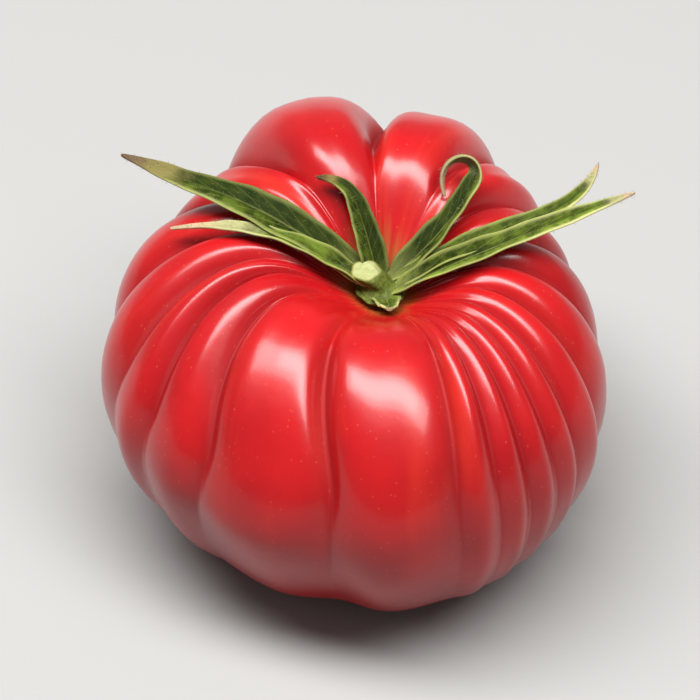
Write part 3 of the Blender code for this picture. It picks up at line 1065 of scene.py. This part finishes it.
            # A curling midrib may pass the vertical, so the crosswise line is carried along it
            carried = sepal.curl_deg and side
            side = (side - way * side.dot(way) if carried else way.cross(UP)).normalized()
            across_way = Matrix.Rotation(math.radians(sepal.twist_deg) * along, 3, way) @ side
            over = across_way.cross(way)
            half = self._width(sepal, number, along) / 2
            fold = math.radians(sepal.fold_deg) * (1 - self.opening * along)
            fold *= grown(self.root_fold, self.folded_from, along)
            points = []
            for across in places:
                out = abs(across)
                ripple = sum(
                    size * math.sin(turns * along + apart * number + skew * across)
                    for size, turns, apart, skew in self.ripples
                )
                rise = half * (out**self.trough * math.sin(fold) + self.ripple * ripple * out)
                rise -= self.rib_depth * math.exp(-((across / self.rib_width) ** 2)) * (1 - along)
                points.append(centre + across_way * across * half * math.cos(fold) + over * rise)
            rows.append(points)
        return rows

    def _rises(self, rows: list[list[Vector]]) -> np.ndarray:
        """How far each row has to rise to lie over the lobes, eased along the blade.

        Args:
            rows: The points of the blade's middle surface, row by row.

        Returns:
            One height for each row.
        """
        needed = []
        for points in rows:
            rise = 0.0
            for point in points[:: self.blade_columns // 4]:
                below = self.fruit_skin.ray_cast(point + UP * 0.1, -UP)[0]
                if below is not None:
                    rise = max(rise, below.z + 2 * self.gap + self.blade_thickness - point.z)
            needed.append(rise)
        reach = round(self.rest_share * self.blade_rows)
        held = [max(needed[max(0, row - reach) : row + reach + 1]) for row in range(len(needed))]
        return np.array([np.mean(held[max(0, row - reach) : row + reach + 1]) for row in range(len(held))])

    def _blade(self, sepal: Sepal, number: int) -> bpy.types.Object:
        """Makes one sepal from a grid, thick in the middle and thin at the margins.

        Args:
            sepal: The sepal.
            number: Its number.

        Returns:
            The finished blade.
        """
        bpy.ops.mesh.primitive_grid_add(
            x_subdivisions=self.blade_columns, y_subdivisions=self.blade_rows, size=2.0
        )
        blade = added(f"sepal_{number}")
        flat = points_of(blade)
        along = (flat[:, 1] + 1) / 2
        across = flat[:, 0]
        row = np.round(along * self.blade_rows).astype(int)
        column = np.round((across + 1) / 2 * self.blade_columns).astype(int)
        rows = self._rows(sepal, number, np.linspace(-1.0, 1.0, self.blade_columns + 1))
        rises = self._rises(rows)
        points = np.array(rows)[row, column]
        points[:, 2] += rises[row]
        move_to(blade, points)
        points_left = math.cos(math.radians(sepal.tip[1])) < 0
        # The far half of each sepal, darkened by painted shade
        far_side = smoothstep(-0.15, 0.15, across if points_left else -across)
        keep_values(
            blade,
            along=along,
            across=across,
            tint=np.clip(sepal.tint * (1 - self.far_side_tint) + self.far_side_tint * far_side, 0, 1),
            dryness=smoothstep(sepal.dry_from - self.drying, 1.0, along),
            bleached=np.full(len(flat), sepal.bleached),
        )
        fullness = blade.vertex_groups.new(name="fullness")
        for vertex, place in enumerate(across):
            fullness.add([vertex], 1.0 - self.margin_thinning * abs(float(place)) ** 3, "REPLACE")
        self._thicken(blade)
        return blade

    def _thicken(self, blade: bpy.types.Object) -> None:
        """Gives the blade its thickness, its two faces' materials and a rounded margin.

        Args:
            blade: The blade's middle surface.
        """
        for face in (self.above, self.below):
            blade.data.materials.append(made_once(face))
        wall = blade.modifiers.new("thickness", "SOLIDIFY")
        wall.thickness = self.blade_thickness
        wall.offset = 0.0
        wall.vertex_group = "fullness"
        wall.material_offset = 1
        rounding = blade.modifiers.new("rounding", "SUBSURF")
        rounding.levels = rounding.render_levels = 1
        finished(blade)

    def _disc(self) -> bpy.types.Object:
        """Makes the green disc under the sepals, a flattened ball with low ribs.

        Returns:
            The finished disc.
        """
        bpy.ops.mesh.primitive_uv_sphere_add(segments=64, ring_count=24, radius=1.0)
        disc = added("calyx_disc")
        ball = points_of(disc)
        turn = np.arctan2(ball[:, 1], ball[:, 0])
        swell = 1 + self.disc_swell * np.maximum(0.0, np.sin(turn)) * np.abs(np.cos(turn))
        ribs = 1 + self.disc_ribs[1] * np.cos(self.disc_ribs[0] * turn)
        radius = self.disc_radius * swell * ribs
        middle = (self.gap + self.disc_top - self.disc_lowered) / 2
        half = (self.disc_top - self.gap - self.disc_thinned) / 2
        bowl = self.disc_bowl * np.hypot(ball[:, 0], ball[:, 1]) ** 2
        height = middle + bowl + ball[:, 2] * half
        points = np.column_stack((ball[:, 0] * radius, ball[:, 1] * radius, height))
        move_to(disc, points + np.array(self.seat))
        keep_values(disc, cut_end=np.zeros(len(ball)))
        disc.data.materials.append(made_once(self.stalk))
        return finished(disc)

    def _stub(self) -> bpy.types.Object:
        """Makes the cut stub: a cylinder, flared at its foot, with a sunk and rimmed end.

        Returns:
            The finished stub.
        """
        foot = self.root_height
        length = self.stub_top - foot
        bpy.ops.mesh.primitive_cylinder_add(vertices=40, radius=self.stub_radius, depth=length)
        stub = added("stalk_stub")
        with editing(stub):
            bpy.ops.mesh.select_mode(type="EDGE")
            bpy.ops.object.mode_set(mode="OBJECT")
            for edge in stub.data.edges:
                ends = [stub.data.vertices[end].co.z for end in edge.vertices]
                edge.select = abs(ends[0] - ends[1]) > length / 2
            bpy.ops.object.mode_set(mode="EDIT")
            bpy.ops.mesh.subdivide(number_cuts=self.stub_cuts)
            bpy.ops.mesh.select_all(action="DESELECT")
            bpy.ops.mesh.select_mode(type="FACE")
            bpy.ops.object.mode_set(mode="OBJECT")
            for face in stub.data.polygons:
                face.select = face.normal.z > 0.9
            bpy.ops.object.mode_set(mode="EDIT")
            for thickness, depth in CUT_END_RINGS:
                bpy.ops.mesh.inset(thickness=thickness * MM, depth=depth * MM)
        self._shape_stub(stub, foot, length)
        stub.data.materials.append(made_once(self.stalk))
        return finished(stub)

    def _shape_stub(self, stub: bpy.types.Object, foot: float, length: float) -> None:
        """Flares, ribs and leans the stub, and marks its cut end.

        Args:
            stub: The upright cylinder.
            foot: The height of its foot above the seat.
            length: Its length.
        """
        points = points_of(stub)
        up = points[:, 2] / length + 0.5
        radius = np.hypot(points[:, 0], points[:, 1])
        turn = np.arctan2(points[:, 1], points[:, 0])
        flare = 1 + self.stub_flare * smoothstep(0.4, 0.0, up) ** 1.5
        flare -= self.stub_waist * np.exp(-(((up - 0.45) / 0.2) ** 2))
        ribs = 1 + self.stub_ribs[1] * np.cos(self.stub_ribs[0] * turn + 0.6) * smoothstep(0.0, 0.5, up)
        ends_cut = smoothstep(0.99, 1.0, up) + (radius < self.stub_radius - 0.1 * MM)
        cut = np.clip(ends_cut, 0, 1) * smoothstep(self.stub_radius * 1.02, self.stub_radius * 0.78, radius)
        points[:, :2] *= (flare * ribs)[:, None]
        lean = np.maximum(0.0, points[:, 2] + length / 2 + foot - self.disc_top)
        points += np.array(self.stub_lean)[None, :] * lean[:, None]
        points[:, 2] += length / 2 + foot
        move_to(stub, points + np.array(self.seat))
        keep_values(stub, cut_end=cut)

    def _hairs(self, blades: list[bpy.types.Object]) -> bpy.types.Object:
        """One mesh of short hairs, each a thin cone on the face of a sepal.

        Args:
            blades: The sepals.

        Returns:
            The piece that holds all the hairs.
        """
        bpy.ops.mesh.primitive_cone_add(vertices=3, radius1=self.hair_radius, depth=self.hair_length)
        hairs = added("calyx_hairs")
        thorn = points_of(hairs) + np.array((0, 0, self.hair_length / 2))
        sides = np.array([list(face.vertices) for face in hairs.data.polygons], dtype=object)
        chance = random.Random(self.seed)
        corners, faces = [], []
        areas = [sum(face.area for face in blade.data.polygons) for blade in blades]
        for blade, area in zip(blades, areas):
            mesh = blade.data
            for _ in range(round(self.most_hairs * area / max(areas))):
                face = mesh.polygons[chance.randrange(len(mesh.polygons))]
                lean = Vector((chance.uniform(-1, 1), chance.uniform(-1, 1), chance.uniform(-1, 1)))
                way = (face.normal + lean * self.hair_lean).normalized()
                turned = way.to_track_quat("Z", "Y").to_matrix()
                size = chance.uniform(*self.hair_sizes)
                root = face.center - face.normal * self.hair_root
                start = len(corners) * len(thorn)
                corners.append((thorn * size) @ np.array(turned).T + np.array(root))
                faces.extend([start + corner for corner in side] for side in sides)
        hairs.data.clear_geometry()
        hairs.data.from_pydata(np.concatenate(corners).tolist(), [], faces)
        hairs.data.materials.append(self.hair.material())
        return finished(hairs)


# The studio


@dataclass(frozen=True)
class Softbox:
    """One softbox: its place, its width and depth in metres, and its power in watts."""

    name: str
    place: tuple[float, float, float]
    width: float
    depth: float
    power: float


SOFTBOXES = (
    Softbox("key_softbox", (-0.04, -0.10, 0.99), 1.8, 0.42, 27.0),
    Softbox("core_softbox", (-0.04, -0.10, 0.98), 1.1, 0.24, 6.5),
)


@dataclass
class Studio:
    """The floor, the lights, the sky and the camera.

    Attributes:
        under_stalk: The point of the floor under the stalk's axis.
        aim: Where the camera and the lights point, from there.
        focal_px: The focal length in the photograph's pixels.
        view_px: How many of those pixels the view is across.
    """

    under_stalk: Vector
    aim: tuple[float, float, float] = (-5.3 * MM, 0.0, 36.5 * MM)
    floor_size: float = 8.0
    elevation_deg: float = 44.0
    distance: float = 1.53
    focal_px: float = 1933.0
    view_px: float = 150.0
    sensor_mm: float = 36.0
    sky: Colour = (1.0, 1.0, 1.0)
    sky_strength: float = 0.25

    @property
    def target(self) -> Vector:
        """The point that the camera and the lights face."""
        return self.under_stalk + Vector(self.aim)

    def build(self) -> None:
        """Sets the studio up round the object."""
        self._floor()
        for softbox in SOFTBOXES:
            self._light(softbox)
        self._world()
        self._camera()
        bpy.context.scene.view_settings.view_transform = "Standard"

    def _floor(self) -> None:
        """The plain floor, which isn't part of the object."""
        bpy.ops.mesh.primitive_plane_add(size=self.floor_size)
        floor = added("floor")
        floor.data.materials.append(FloorFinish().material())

    def _light(self, softbox: Softbox) -> None:
        """Adds a softbox that faces the object.

        Args:
            softbox: Its place, size and power.
        """
        bpy.ops.object.light_add(type="AREA", location=softbox.place)
        light = bpy.context.object
        light.name = softbox.name
        light.data.shape = "RECTANGLE"
        light.data.size = softbox.width
        light.data.size_y = softbox.depth
        light.data.energy = softbox.power
        light.rotation_euler = (self.target - light.location).to_track_quat("-Z", "Y").to_euler()

    def _world(self) -> None:
        """The even pale sky."""
        world = bpy.data.worlds.new("studio_sky")
        world.use_nodes = True
        background = world.node_tree.nodes["Background"]
        background.inputs["Color"].default_value = (*self.sky, 1.0)
        background.inputs["Strength"].default_value = self.sky_strength
        bpy.context.scene.world = world

    def _camera(self) -> None:
        """The camera at the photograph's viewing angle."""
        elevation = math.radians(self.elevation_deg)
        away = Vector((0.0, -math.cos(elevation), math.sin(elevation)))
        bpy.ops.object.camera_add(location=self.target + away * self.distance)
        camera = bpy.context.object
        camera.rotation_euler = (-away).to_track_quat("-Z", "Y").to_euler()
        camera.data.sensor_width = self.sensor_mm
        camera.data.lens = self.focal_px / self.view_px * self.sensor_mm
        camera.data.clip_start = 0.01
        bpy.context.scene.camera = camera


def corners(box: tuple[Vector, Vector]) -> list[list[float]]:
    """The two corners of a box as plain lists of numbers."""
    return [list(corner) for corner in box]


def main() -> None:
    """Builds the tomato and its studio."""
    logging.basicConfig(level=logging.INFO, format="%(name)s: %(message)s")
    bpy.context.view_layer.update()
    fruit = Fruit()
    skin = fruit.build()
    graph = bpy.context.evaluated_depsgraph_get()
    Calyx(fruit, BVHTree.FromObject(skin, graph)).build()
    Studio(fruit.shift).build()


if __name__ == "__main__":
    main()
